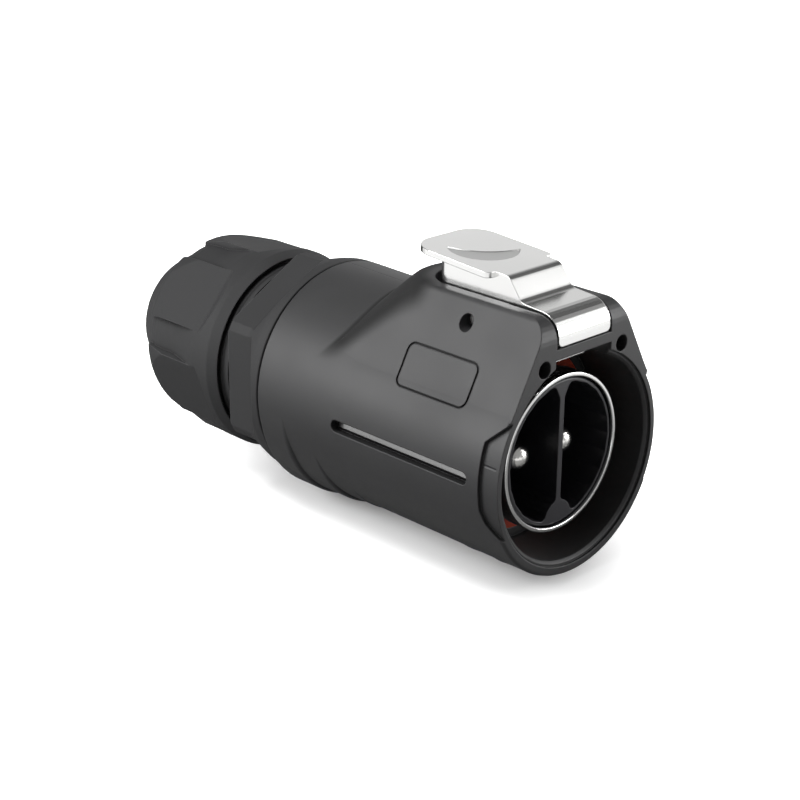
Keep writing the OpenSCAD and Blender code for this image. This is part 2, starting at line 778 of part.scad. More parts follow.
module insert_retainer() {
    spanner_w = 3;
    color(nylon) difference() {
        ring(cavity_r - run, block_r + slip, -retainer_x - retainer_t, -retainer_x);
        for (a = [0, 90])
            rotate([a, 0, 0]) translate([-retainer_x - retainer_t - cut, -cavity_r, -spanner_w / 2])
                cube([1.5 + cut, 2 * cavity_r, spanner_w]);
    }
}

// Rear adapter: threaded nose, collar with six wrench flats, threaded neck

module wrench_flats() {
    over = flat_depth + cut;
    for (a = [30:60:330])
        rotate([a, 0, 0]) side_slab(-collar_r, collar_r)
            polygon([[-collar_rear - nut_gap, adapter_flat_r], [-flat_front, adapter_flat_r],
                     [-flat_front + over, rear_r + cut], [-collar_rear - nut_gap, rear_r + cut]]);
}

module rear_adapter() {
    relief = 0.7;
    color(nylon) difference() {
        union() {
            difference() {
                turned(rounded([[0, -collar_rear, 0], [adapter_land_r, -collar_rear, 0.5],
                                [adapter_land_r, -flat_front - 1, 3], [rear_r, -flat_front + 2.2, 3],
                                [rear_r, -collar_front, 0.3], [0, -collar_front, 0]]));
                wrench_flats();
            }
            rod(thread_r - air, -collar_front - cut, -housing_l + thread_l - air);
            turned([[0, -neck_rear], [neck_r - 0.8, -neck_rear], [neck_r, -neck_rear + 0.8],
                    [neck_r, -collar_rear - 1], [neck_r - relief, -collar_rear - relief],
                    [neck_r - relief, -collar_rear + cut], [0, -collar_rear + cut]]);
        }
        rod(adapter_bore_r, -neck_rear - cut, 0);
        rod(claw_r + air, -neck_rear - cut, -claw_front + run);
    }
}

module adapter_oring() {
    color(rubber_black) oring(thread_r + oring_r - run, oring_r, -housing_l + oring_seat_l / 2);
}

// Cable gland: fingers and rubber squeezed by the nut

module clamp_claw() {
    outer_tip = nut_cone_r - air - (claw_rear - nut_thread_rear) * finger_slope;
    color(nylon) difference() {
        turned([[claw_bore, -claw_front], [claw_r, -claw_front], [claw_r, -nut_thread_rear],
                [outer_tip, -claw_rear], [outer_tip - finger_t, -claw_rear],
                [claw_bore, -nut_thread_rear - claw_step]]);
        for (i = [0:claw_fingers - 1])
            rotate([i * 360 / claw_fingers, 0, 0]) translate([-claw_rear - cut, -claw_gap / 2, 0])
                cube([claw_rear + cut - claw_front - claw_ring_l, claw_gap, claw_r + cut]);
    }
}

module cable_seal() {
    r = claw_bore - slip;
    front_x = claw_front + cut;
    tip_x = claw_rear - cut;
    tip_r = nut_cone_r - air - finger_t - slip - (tip_x - nut_thread_rear) * finger_slope;
    rib = 0.5;
    groove_w = 1.4;
    groove_pitch = 3;
    bore_r = seal_bore_d / 2;
    color(rubber_black) difference() {
        turned([[bore_r, -tip_x], [tip_r, -tip_x], [r, -nut_thread_rear - claw_step], [r, -front_x],
                [bore_r + rib, -front_x], [bore_r, -front_x - 2 * rib]]);
        for (x = [front_x + groove_pitch:groove_pitch:tip_x - 2 * groove_pitch])
            ring(bore_r + rib, bore_r - cut, -x - groove_w, -x);
    }
}

// Gland nut: round rim, six flat pads and a bell between them

module nut_bell() {
    turned(concat([[0, -nut_rear]],
                  rounded_path([[cable_hole_r + 1.6, -nut_rear, 0], [cable_hole_r + 3.2, -nut_rear + 1.2, 1],
                                [nut_rim_r - bell_end_inset, -pad_end, 4],
                                [nut_rim_r - bell_inset, -nut_front - 0.66 * nut_l, 8],
                                [nut_rim_r - bell_inset, -nut_front - 0.44 * nut_l, 8],
                                [nut_rim_r, -nut_front - 0.22 * nut_l, 5],
                                [nut_rim_r, -nut_front - 0.07 * nut_l, 1],
                                [nut_rim_r - 0.8, -nut_front, 0]]),
                  [[0, -nut_front]]));
}

module nut_pads() {
    front_x = nut_front + 3;
    over_r = nut_rim_r + 1;
    intersection() {
        turned(rounded([[0, -pad_end - 1, 0], [nut_rim_r - 3.6, -pad_end - 1, 1.5],
                        [nut_rim_r - 1.2, -pad_end + 1.6, 3.5], [over_r, -pad_end + 13, 0],
                        [over_r, -front_x, 0], [0, -front_x, 0]]));
        for (a = pad_angles)
            rotate([90 - a, 0, 0]) plan_slab(pad_r / 2, pad_r)
                polygon(rounded([[-pad_end, -pad_half, 2.8], [-front_x, -pad_half, 0],
                                 [-front_x, pad_half, 0], [-pad_end, pad_half, 2.8]]));
    }
}

// Cuts the rim and the bell down to the pads' planes, with a slanting front end
module nut_flats() {
    half = pad_half + 1;
    x = nut_front + 5.7;
    rise = pad_drop + cut;
    slope_l = rise / tan(pad_slant);
    for (a = pad_angles)
        rotate([90 - a, 0, 0]) side_slab(-half, half)
            polygon([[-nut_rear - cut, pad_r], [-x, pad_r], [-x + slope_l, pad_r + rise],
                     [-nut_rear - cut, pad_r + rise]]);
}

module gland_nut() {
    nut_thread_r = neck_r + air;
    color(nylon) difference() {
        union() {
            difference() {
                nut_bell();
                nut_flats();
            }
            nut_pads();
        }
        turned([[0, -nut_rear - cut], [cable_hole_r, -nut_rear - cut], [cable_hole_r, -nut_rear + cable_hole_l],
                [nut_cone_end, -nut_rear + cable_hole_l], [nut_cone_r, -nut_thread_rear],
                [nut_thread_r, -nut_thread_rear], [nut_thread_r, -nut_front - 0.8],
                [nut_thread_r + 0.8, -nut_front], [nut_thread_r + 0.8, -nut_front + cut], [0, -nut_front + cut]]);
    }
}

housing();
latch_lever();
latch_pin();
latch_spring();
contact_shell();
shell_oring();
face_seal();
insulator_front();
contact_seal();
insulator_rear();
contact_pin_left();
contact_pin_right();
terminal_screw_left_front();
terminal_screw_left_rear();
terminal_screw_right_front();
terminal_screw_right_rear();
insert_retainer();
rear_adapter();
adapter_oring();
clamp_claw();
cable_seal();
gland_nut();
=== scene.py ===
# %% [markdown]
# A waterproof power plug: charcoal moulded nylon, a polished spring latch and a bright contact shell.
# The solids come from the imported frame. This scene gives them their finishes, softens the moulded
# edges, adds the fine parts that the solids leave out, and sets up light and camera.

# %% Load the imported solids
import math
import bpy
import bmesh
import numpy as np
from mathutils import Matrix, Vector


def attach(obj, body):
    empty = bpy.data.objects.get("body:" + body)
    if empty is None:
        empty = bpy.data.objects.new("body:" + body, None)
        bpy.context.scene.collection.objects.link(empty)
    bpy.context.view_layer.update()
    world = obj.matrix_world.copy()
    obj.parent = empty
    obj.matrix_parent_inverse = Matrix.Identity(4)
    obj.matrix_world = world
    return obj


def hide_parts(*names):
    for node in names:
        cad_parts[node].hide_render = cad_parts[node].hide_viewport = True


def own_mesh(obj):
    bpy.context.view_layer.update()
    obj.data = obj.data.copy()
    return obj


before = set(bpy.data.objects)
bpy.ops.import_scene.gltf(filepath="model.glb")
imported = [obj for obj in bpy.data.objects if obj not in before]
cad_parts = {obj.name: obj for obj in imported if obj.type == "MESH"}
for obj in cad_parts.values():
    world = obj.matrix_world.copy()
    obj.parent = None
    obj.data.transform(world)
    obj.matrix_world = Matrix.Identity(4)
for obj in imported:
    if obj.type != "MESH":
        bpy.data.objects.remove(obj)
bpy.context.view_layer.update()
MM = 0.001

# %% [markdown]
# The camera stands where the photographer stood: in front of the mouth, 46 degrees round to the near
# side and 21 degrees above the plug, with a long lens. Its axes are worked out as three vectors,
# because a photographer's camera is seldom quite level, and here it is turned by half a degree.

# %% Camera
AZIMUTH = math.radians(45.56)
ELEVATION = math.radians(21.48)
ROLL = 0.00898
FOCAL_PIXELS = 1770.2
PICTURE_PIXELS = 800

camera_data = bpy.data.cameras.new("camera")
camera_data.sensor_width = 36.0
camera_data.lens = FOCAL_PIXELS / PICTURE_PIXELS * camera_data.sensor_width
camera_data.clip_start = 0.01
camera = bpy.data.objects.new("camera", camera_data)
bpy.context.scene.collection.objects.link(camera)
bpy.context.scene.camera = camera

back = Vector((math.sin(AZIMUTH) * math.cos(ELEVATION),
               -math.cos(AZIMUTH) * math.cos(ELEVATION),
               math.sin(ELEVATION)))
level = Vector((math.cos(AZIMUTH), math.sin(AZIMUTH), 0))
upright = back.cross(level)
right = level * math.cos(ROLL) + upright * math.sin(ROLL)
up = upright * math.cos(ROLL) - level * math.sin(ROLL)
place = Vector((171.14, -209.38, 116.04)) * MM
camera.matrix_world = Matrix((right, up, back)).transposed().to_4x4()
camera.location = place
print("camera is", round(place.length * 1000), "mm from the mouth, lens", round(camera_data.lens, 1), "mm")

# %% [markdown]
# Light: a large soft box low on the near side gives the broad sheen along the body's flank, a second one
# faces the mouth from the far side, and two weak ones above soften the shadows. Each is a plain lamp at
# the same distance from the plug's middle, so that only its place, size and power have to be chosen.

# %% Soft boxes
LAMP_DISTANCE = 600
PLUG_MIDDLE = Vector((-50, 0, 0))

def soft_box(name, azimuth, height, watts, size=300, wide=None):
    """A lamp on a sphere round the plug's middle: azimuth runs from the mouth to the near side, in degrees.
    It is as wide as it is high unless a width is given."""
    turn, rise = math.radians(azimuth), math.radians(height)
    way = Vector((math.cos(rise) * math.cos(turn), -math.cos(rise) * math.sin(turn), math.sin(rise)))
    lamp = bpy.data.lights.new(name, "AREA")
    lamp.shape = "RECTANGLE"
    lamp.size = (wide or size) * MM
    lamp.size_y = size * MM
    lamp.energy = watts
    box = bpy.data.objects.new(name, lamp)
    box.location = (PLUG_MIDDLE + LAMP_DISTANCE * way) * MM
    box.rotation_euler = way.to_track_quat("Z", "Y").to_euler()
    bpy.context.scene.collection.objects.link(box)
    print(name, "at", [round(c) for c in box.location * 1000], "mm,", watts, "W")
    return box

soft_box("key_softbox", 120, 23, 3.4, size=380)
soft_box("upper_softbox", 120, 70, 1.7)
soft_box("rear_softbox", 215, 66, 0.35)
soft_box("mouth_softbox", 315, 12, 2.1)

# %% [markdown]
# The sky and every material below are webs of nodes. A few helpers keep them readable: each adds a node
# or a small sum of nodes and takes numbers or sockets, so that a web reads like a formula. The same
# webs could be drawn by hand in the Shader Editor.

# %% Helpers for node trees
def feed(tree, entry, value):
    """Links an input to a socket, or sets it to a number, a vector or a colour."""
    if isinstance(value, bpy.types.NodeSocket):
        tree.links.new(value, entry)
    else:
        entry.default_value = value

def calc(tree, operation, *values):
    """One Math node fed by numbers or sockets, and its answer as a socket."""
    node = tree.nodes.new("ShaderNodeMath")
    node.operation = operation
    for entry, value in zip(node.inputs, values):
        feed(tree, entry, value)
    return node.outputs[0]

def hypotenuse(tree, a, b):
    """The root of a squared plus b squared."""
    return calc(tree, "SQRT", calc(tree, "ADD", calc(tree, "POWER", a, 2.0), calc(tree, "POWER", b, 2.0)))

def less_where(tree, value, mask, share):
    """The value, less this share of it where the mask is 1."""
    return calc(tree, "MULTIPLY", value, calc(tree, "MULTIPLY_ADD", mask, -share, 1.0))

def soft_step(tree, value, low, high):
    """0 below low, 1 above high, and a smooth S between. With low above high it runs the other way."""
    step = tree.nodes.new("ShaderNodeMapRange")
    step.interpolation_type = "SMOOTHSTEP"
    step.inputs["From Min"].default_value = low
    step.inputs["From Max"].default_value = high
    tree.links.new(value, step.inputs["Value"])
    return step.outputs["Result"]

def mixed_colour(tree, mask, low, high):
    """A Mix node: the colour low where the mask is 0, and the colour high where it is 1."""
    mix = tree.nodes.new("ShaderNodeMix")
    mix.data_type = "RGBA"
    feed(tree, mix.inputs["Factor"], mask)
    feed(tree, mix.inputs["A"], low)
    feed(tree, mix.inputs["B"], high)
    return mix

def coordinates(tree, kind):
    """Three sockets, x, y and z, of a Texture Coordinate output such as Object."""
    where = tree.nodes.new("ShaderNodeTexCoord")
    split = tree.nodes.new("ShaderNodeSeparateXYZ")
    tree.links.new(where.outputs[kind], split.inputs[0])
    return split.outputs

def ray_kinds(tree):
    """Two sockets: 1 for rays from the camera, and 1 for rays that a mirror or glass has sent on."""
    rays = tree.nodes.new("ShaderNodeLightPath")
    sent_on = calc(tree, "MAXIMUM", rays.outputs["Is Glossy Ray"], rays.outputs["Is Transmission Ray"])
    return rays.outputs["Is Camera Ray"], sent_on

# %% [markdown]
# The sky only fills the shadows. The camera sees it as plain white. What the metal mirrors is a studio
# with a white backdrop on the far side, dimmer walls elsewhere, a dark wall behind the plug's rear and
# a dark flag high up: polished sheet looks like metal only when it has something dark to mirror in its
# bends, and the moulded steps that face the rear stay dark.

# %% What the metal mirrors
FILL_LIGHT = 0.09
FLAG_WAY = Vector((0.0, 0.62, 0.78)).normalized()

world = bpy.data.worlds.new("studio")
bpy.context.scene.world = world
world.use_nodes = True
sky = world.node_tree
sky.nodes.clear()
x, y, z = coordinates(sky, "Generated")
backdrop = soft_step(sky, y, 0.30, 0.55)
walls = calc(sky, "MULTIPLY_ADD", backdrop, 0.7, 0.3)
rear_top = calc(sky, "MULTIPLY", soft_step(sky, z, 0.28, 0.6), soft_step(sky, x, 0.0, -0.4))
walls = less_where(sky, walls, rear_top, 0.65)
rear_wall = calc(sky, "MULTIPLY", soft_step(sky, x, -0.55, -0.75), soft_step(sky, y, 0.55, 0.40))
walls = less_where(sky, walls, rear_wall, 0.9)
way = sky.nodes.new("ShaderNodeTexCoord")
towards_flag = sky.nodes.new("ShaderNodeVectorMath")
towards_flag.operation = "DOT_PRODUCT"
towards_flag.inputs[1].default_value = FLAG_WAY
sky.links.new(way.outputs["Generated"], towards_flag.inputs[0])
flag = soft_step(sky, towards_flag.outputs["Value"], 0.89, 0.97)
mirrored = less_where(sky, walls, flag, 0.88)
print("the flag stands", round(math.degrees(math.asin(FLAG_WAY.z))), "degrees above the far side")

# %% Sky
def background(strength):
    """A plain white Background shader of this strength, a number or a socket."""
    light = sky.nodes.new("ShaderNodeBackground")
    light.inputs["Color"].default_value = (1, 1, 1, 1)
    feed(sky, light.inputs["Strength"], strength)
    return light.outputs[0]

from_camera, sent_on = ray_kinds(sky)
pick = sky.nodes.new("ShaderNodeMixShader")
sky.links.new(calc(sky, "MAXIMUM", from_camera, sent_on), pick.inputs[0])
sky.links.new(background(FILL_LIGHT), pick.inputs[1])
sky.links.new(background(calc(sky, "MAXIMUM", from_camera, calc(sky, "MULTIPLY", sent_on, mirrored))), pick.inputs[2])
sky_out = sky.nodes.new("ShaderNodeOutputWorld")
sky.links.new(pick.outputs[0], sky_out.inputs["Surface"])
bpy.context.scene.view_settings.view_transform = "Standard"
print("sky:", len(sky.nodes), "nodes, fill light", FILL_LIGHT)

# %% [markdown]
# The floor is plain white paper with its own soft lamp, as a background often has: light linking keeps
# that lamp on the paper, and the plug still throws its shadow there. The plug gets little light back
# from below, so for rays that only carry light the paper is darker than the camera sees it, and metal
# mirrors it as white only where it lies clear of the plug, a painted shade in the reflections. The paper
# also glows a little for the camera, more with the distance from the plug, which paints a shadow under the plug that
# ends softly, and the far edge is white.

# %% Where the floor lies clear of the plug
def new_material(name):
    """A material with nothing in it but its output."""
    material = bpy.data.materials.new(name)
    material.use_nodes = True
    material.node_tree.nodes.clear()
    material.node_tree.nodes.new("ShaderNodeOutputMaterial").name = "out"
    return material

SHADOW_MIDDLE = (-35, -8)
SHADOW_HALF_LENGTH = 24

paper = new_material("white_paper")
tree = paper.node_tree
x, y, z = coordinates(tree, "Object")
along = calc(tree, "ABSOLUTE", calc(tree, "ADD", x, -SHADOW_MIDDLE[0] * MM))
along = calc(tree, "MAXIMUM", calc(tree, "SUBTRACT", along, SHADOW_HALF_LENGTH * MM), 0.0)
beside = calc(tree, "ABSOLUTE", calc(tree, "ADD", y, -SHADOW_MIDDLE[1] * MM))
away = hypotenuse(tree, along, beside)
ahead = soft_step(tree, x, -90 * MM, -10 * MM)
near_side = soft_step(tree, y, -25 * MM, -60 * MM)
clear = calc(tree, "MULTIPLY", soft_step(tree, away, 55 * MM, 115 * MM), calc(tree, "MAXIMUM", ahead, near_side))
print("shadow: a strip", 2 * SHADOW_HALF_LENGTH, "mm long, centred at", SHADOW_MIDDLE, "mm")

# %% Paper
PAPER_UNSEEN = (0.18, 0.18, 0.18, 1)
PAPER_SEEN = (0.90, 0.90, 0.90, 1)
PAPER_MIRRORED = 0.78

from_camera, sent_on = ray_kinds(tree)
tone = mixed_colour(tree, from_camera, PAPER_UNSEEN, PAPER_SEEN)
lit = tree.nodes.new("ShaderNodeBsdfPrincipled")
lit.inputs["Roughness"].default_value = 1.0
lit.inputs["Specular IOR Level"].default_value = 0.0
tree.links.new(tone.outputs["Result"], lit.inputs["Base Color"])

# Painted shadow: the glow for the camera is weakest along the strip under the plug.
to_camera = calc(tree, "MULTIPLY_ADD", soft_step(tree, away, 4 * MM, 34 * MM), 0.7, 0.06)
to_camera = calc(tree, "MULTIPLY_ADD", soft_step(tree, away, 80 * MM, 600 * MM), 0.24, to_camera)
to_camera = calc(tree, "MULTIPLY", from_camera, to_camera)
# Painted shade in the reflections: mirrors see the paper glow only where it lies clear of the plug.
to_mirrors = calc(tree, "MULTIPLY", calc(tree, "MULTIPLY", sent_on, clear), PAPER_MIRRORED)
glow = tree.nodes.new("ShaderNodeEmission")
glow.inputs["Color"].default_value = (1, 1, 1, 1)
tree.links.new(calc(tree, "MAXIMUM", to_mirrors, to_camera), glow.inputs["Strength"])
both = tree.nodes.new("ShaderNodeAddShader")
tree.links.new(lit.outputs[0], both.inputs[0])
tree.links.new(glow.outputs[0], both.inputs[1])
tree.links.new(both.outputs[0], tree.nodes["out"].inputs["Surface"])
print("paper:", len(tree.nodes), "nodes")

# %% Floor and its lamp
FLOOR_HALF = 1.5
FLOOR_HEIGHT = -22.6 * MM

floor_mesh = bpy.data.meshes.new("floor")
corners = [(-FLOOR_HALF, -FLOOR_HALF), (FLOOR_HALF, -FLOOR_HALF), (FLOOR_HALF, FLOOR_HALF), (-FLOOR_HALF, FLOOR_HALF)]
floor_mesh.from_pydata([(*corner, FLOOR_HEIGHT) for corner in corners], [], [(0, 1, 2, 3)])
floor_mesh.materials.append(paper)
floor = bpy.data.objects.new("floor", floor_mesh)
bpy.context.scene.collection.objects.link(floor)
paper_lamp = soft_box("paper_softbox", 90, 51, 6.8, size=560, wide=2200)
paper_only = bpy.data.collections.new("paper_only")
paper_only.objects.link(floor)
paper_lamp.light_linking.receiver_collection = paper_only
print("floor", round(-FLOOR_HEIGHT * 1000, 1), "mm under the axis")

# %% [markdown]
# Glass-filled nylon has a fine even grain from the spark-eroded mould, and a faint cloudiness where the
# melt flowed. Both are one group, a height for the bump and a mask for the colour, so that each
# moulded material can use them at its own scale.

# %% Grain group
def add_socket(group, name, direction, kind, value=None):
    """A named socket on a node group, with a starting value for inputs."""
    socket = group.interface.new_socket(name=name, in_out=direction, socket_type=kind)
    if value is not None:
        socket.default_value = value
    return socket

def noise(tree, where, scale, detail):
    """A Noise Texture over the coordinates where, and its value as a socket."""
    texture = tree.nodes.new("ShaderNodeTexNoise")
    texture.inputs["Detail"].default_value = detail
    tree.links.new(where, texture.inputs["Vector"])
    feed(tree, texture.inputs["Scale"], scale)
    return texture.outputs["Fac"]

def make_grain_group():
    """Height = fine noise + a third of noise at a quarter of its scale; Cloud = slow noise, 0 to 1."""
    group = bpy.data.node_groups.new("moulded_grain", "ShaderNodeTree")
    add_socket(group, "Grain Scale", "INPUT", "NodeSocketFloat", 3200.0)
    add_socket(group, "Cloud Scale", "INPUT", "NodeSocketFloat", 90.0)
    add_socket(group, "Height", "OUTPUT", "NodeSocketFloat")
    add_socket(group, "Cloud", "OUTPUT", "NodeSocketFloat")
    enter, leave = group.nodes.new("NodeGroupInput"), group.nodes.new("NodeGroupOutput")
    where = group.nodes.new("ShaderNodeTexCoord").outputs["Object"]
    fine = noise(group, where, enter.outputs["Grain Scale"], 2.0)
    coarse = noise(group, where, calc(group, "MULTIPLY", enter.outputs["Grain Scale"], 0.25), 1.0)
    group.links.new(calc(group, "MULTIPLY_ADD", coarse, 0.33, fine), leave.inputs["Height"])
    group.links.new(noise(group, where, enter.outputs["Cloud Scale"], 3.0), leave.inputs["Cloud"])
    return group

grain_group = make_grain_group()
print("grain group:", len(grain_group.nodes), "nodes")

# %% [markdown]
# Some marks sit at known places on the housing: the lines where the mould's halves met, the hood's
# sloping tail, the floor of the long slots. They could be painted on a picture, but a small sum on the
# Object coordinates is sharper, and it stays on the plastic whatever the camera does.

# %% A start for masks
def new_mask_group(name, *inputs):
    """An empty group with float inputs (name, value), one Mask output, and its Object coordinates split."""
    group = bpy.data.node_groups.new(name, "ShaderNodeTree")
    for title, value in inputs:
        add_socket(group, title, "INPUT", "NodeSocketFloat", value)
    add_socket(group, "Mask", "OUTPUT", "NodeSocketFloat")
    enter, leave = group.nodes.new("NodeGroupInput"), group.nodes.new("NodeGroupOutput")
    return group, enter, leave, coordinates(group, "Object")

def place_group(tree, group, values):
    """The group as a node in a tree, with its named inputs set to numbers or fed by sockets."""
    node = tree.nodes.new("ShaderNodeGroup")
    node.node_tree = group
    for title, value in values.items():
        feed(tree, node.inputs[title], value)
    return node

# %% Parting lines
LINE_OUTWARD = 12 * MM

def make_line_group():
    """A line along X: 1 where the value Across is at Centre, fading to 0 over Half Width, from Start to End,
    and only on the side where the value Outward is over LINE_OUTWARD, so that the far side has none."""
    group, enter, leave, (x, y, z) = new_mask_group(
        "parting_line", ("Across", 0.0), ("Outward", 0.0), ("Centre", 0.0), ("Half Width", 0.0001),
        ("Start", 0.0), ("End", 0.0))
    off = calc(group, "ABSOLUTE", calc(group, "SUBTRACT", enter.outputs["Across"], enter.outputs["Centre"]))
    line = calc(group, "SUBTRACT", 1.0, calc(group, "DIVIDE", off, enter.outputs["Half Width"]))
    line = calc(group, "MAXIMUM", line, 0.0)
    line = calc(group, "MULTIPLY", line, calc(group, "GREATER_THAN", x, enter.outputs["Start"]))
    line = calc(group, "MULTIPLY", line, calc(group, "LESS_THAN", x, enter.outputs["End"]))
    line = calc(group, "MULTIPLY", line, calc(group, "GREATER_THAN", enter.outputs["Outward"], LINE_OUTWARD))
    group.links.new(line, leave.inputs["Mask"])
    return group

line_group = make_line_group()
print("line group:", len(line_group.nodes), "nodes")

# %% The hood's tail
TAIL_AXIS_X = -25.4
TAIL_RADIUS, TAIL_RADIUS_AT = 10.9, 24.5
TAIL_FLARE = 1.072
TAIL_LEAN = 0.68

def make_tail_group():
    """1 on the hood's sloping tail, a cone about a vertical line, and a little way onto the walls beside it.
    The cone's radius falls by TAIL_FLARE for each unit of height, and the distance outside it is measured
    square to the slope. Reach says how deep under the cone the mask still holds."""
    group, enter, leave, (x, y, z) = new_mask_group("hood_tail", ("Reach", 0.003))
    behind = calc(group, "ADD", x, -TAIL_AXIS_X * MM)
    radius = calc(group, "MULTIPLY_ADD", z, -TAIL_FLARE, (TAIL_RADIUS + TAIL_FLARE * TAIL_RADIUS_AT) * MM)
    outside = calc(group, "MULTIPLY", calc(group, "SUBTRACT", hypotenuse(group, behind, y), radius), TAIL_LEAN)
    mask = soft_step(group, outside, 0.7 * MM, 0.1 * MM)
    reached = calc(group, "ADD", outside, enter.outputs["Reach"])
    for fade in (soft_step(group, reached, 0.0, 1.8 * MM),
                 soft_step(group, x, -25.0 * MM, -29.0 * MM),
                 soft_step(group, z, 10.0 * MM, 14.0 * MM)):
        mask = calc(group, "MULTIPLY", mask, fade)
    group.links.new(mask, leave.inputs["Mask"])
    return group

tail_group = make_tail_group()
print("tail group:", len(tail_group.nodes), "nodes")

# %% The long slots' floor
SLOT_FLOOR = 19.0
SLOT_HALF_HEIGHT = 1.3
SLOT_MIDDLE_X, SLOT_HALF_LENGTH = -22.3, 16.3
CREST_DROP = 0.15

def make_slot_group():
    """Mask is 1 on the floor of the long side slots. Slope is a height with its crest a little under the
    middle: it falls by 1 a unit above the crest and by 1.7 below, times Steepness."""
    group, enter, leave, (x, y, z) = new_mask_group("slot_floor", ("Steepness", 0.5))
    add_socket(group, "Slope", "OUTPUT", "NodeSocketFloat")
    inside = calc(group, "COMPARE", calc(group, "ABSOLUTE", y), SLOT_FLOOR * MM, 0.15 * MM)
    low = calc(group, "LESS_THAN", calc(group, "ABSOLUTE", z), SLOT_HALF_HEIGHT * MM)
    inside = calc(group, "MULTIPLY", inside, low)
    inside = calc(group, "MULTIPLY", inside, calc(group, "COMPARE", x, SLOT_MIDDLE_X * MM, SLOT_HALF_LENGTH * MM))
    group.links.new(inside, leave.inputs["Mask"])
    over = calc(group, "ADD", z, CREST_DROP * MM)
    above = calc(group, "MULTIPLY", calc(group, "MAXIMUM", over, 0.0), -1.0)
    fall = calc(group, "MULTIPLY_ADD", calc(group, "MINIMUM", over, 0.0), 1.7, above)
    slope = calc(group, "MULTIPLY", fall, enter.outputs["Steepness"])
    group.links.new(calc(group, "MULTIPLY", slope, inside), leave.inputs["Slope"])
    return group

slot_group = make_slot_group()
print("slot group:", len(slot_group.nodes), "nodes")

# %% [markdown]
# No moulded or pressed edge is truly sharp, and it is the narrow light along the edges that makes a
# part look real. A Bevel node bends the normal near each edge, so that the edges catch light and the
# solids keep their exact shape. The same normal tells where the edges are: it leans away from the true
# one there, and that is where a painted highlight makes the plastic paler.

# %% Rounded edges
def soft_edges(tree, radius, samples=6):
    """A Bevel node whose radius in metres is a number or a socket, and its normal as a socket."""
    edge = tree.nodes.new("ShaderNodeBevel")
    edge.samples = samples
    feed(tree, edge.inputs["Radius"], radius)
    return edge.outputs["Normal"]

def make_edge_group():
    """1 where the softened normal leans well away from the true one, along the edges, and 0 on open faces."""
    group = bpy.data.node_groups.new("edge_highlight_mask", "ShaderNodeTree")
    add_socket(group, "Soft Normal", "INPUT", "NodeSocketVector")
    add_socket(group, "Mask", "OUTPUT", "NodeSocketFloat")
    enter, leave = group.nodes.new("NodeGroupInput"), group.nodes.new("NodeGroupOutput")
    true = group.nodes.new("ShaderNodeNewGeometry")
    agree = group.nodes.new("ShaderNodeVectorMath")
    agree.operation = "DOT_PRODUCT"
    group.links.new(enter.outputs["Soft Normal"], agree.inputs[0])
    group.links.new(true.outputs["Normal"], agree.inputs[1])
    lean = calc(group, "SUBTRACT", 1.0, agree.outputs["Value"])
    group.links.new(soft_step(group, lean, 0.04, 0.25), leave.inputs["Mask"])
    return group

edge_group = make_edge_group()
print("edge group:", len(edge_group.nodes), "nodes")

# %% [markdown]
# All the plastic and rubber is one recipe with other values. Its colour and its roughness drift between
# two values with the cloud, the grain bumps it, its edges are paler as a painted highlight, and its inner
# corners are darkened as painted shade. The corners come from an Ambient Occlusion node that looks only at
# the piece itself, so that the painted shade stays the same whatever stands beside the piece.

# %% Parts of a finish
def drifting(tree, mask, middle, swing):
    """A value that runs from middle - swing to middle + swing as the mask runs from 0 to 1."""
    drift = tree.nodes.new("ShaderNodeMapRange")
    drift.inputs["To Min"].default_value = middle - swing
    drift.inputs["To Max"].default_value = middle + swing
    tree.links.new(mask, drift.inputs["Value"])
    return drift.outputs["Result"]

def bumped(tree, height, distance, normal, strength=1.0):
    """A Bump node that raises the surface by height times distance, starting from this normal."""
    bump = tree.nodes.new("ShaderNodeBump")
    bump.inputs["Strength"].default_value = strength
    bump.inputs["Distance"].default_value = distance
    tree.links.new(height, bump.inputs["Height"])
    tree.links.new(normal, bump.inputs["Normal"])
    return bump

# %% Moulded plastic and rubber
CLOUD_SCALE = 90.0
ROUGH_SWING = 0.08
CORNER_REACH = 1.1 * MM
CORNER_SHADE_TONE = 0.12
CORNER_DULL = 0.3

